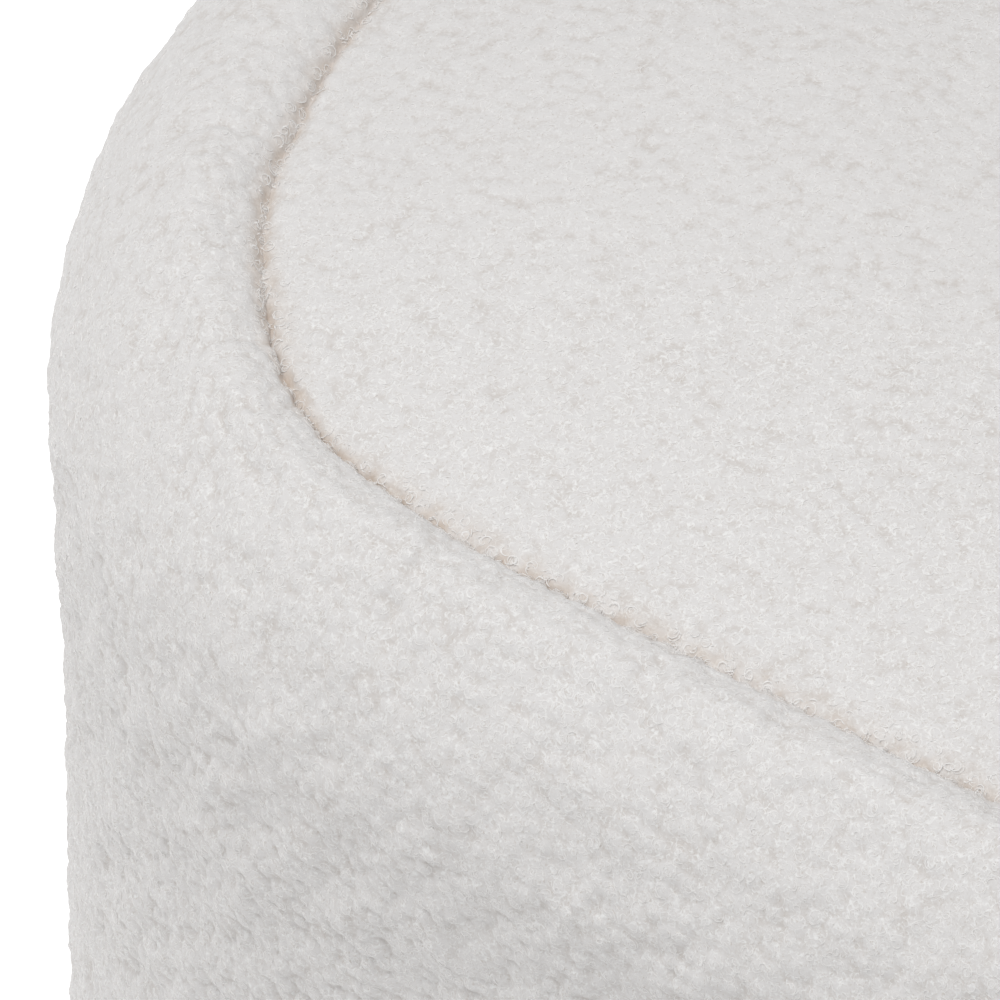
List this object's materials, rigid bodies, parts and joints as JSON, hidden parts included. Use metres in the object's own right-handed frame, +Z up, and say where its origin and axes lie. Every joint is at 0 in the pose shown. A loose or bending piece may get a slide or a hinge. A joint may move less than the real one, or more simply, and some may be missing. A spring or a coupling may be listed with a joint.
{
  "type": "storage ottoman",
  "caption": "Round-ended upholstered storage ottoman in looped pile cloth: a hollow padded body, a soft rim and a crowned inset lid that lifts off.",
  "frame": {"origin": "on the floor under the middle of the ottoman", "axes": "+Z up, +X along the length, the long side that the picture shows faces -Y"},
  "size_m": [0.78, 0.45, 0.4406],
  "materials": {
    "boucle_cloth": "looped pile, matt, off-white",
    "base_board": "board stained black, matt"
  },
  "bodies": {
    "ottoman_body": {"body_cover": "boucle_cloth", "base_panel": "base_board"},
    "lid": {"lid_cushion": "boucle_cloth"}
  },
  "joints": [
    {"name": "lid_lift", "type": "slide", "parent": "ottoman_body", "child": "lid", "axis": [0, 0, 1], "range_m": [0, 0.4]}
  ]
}
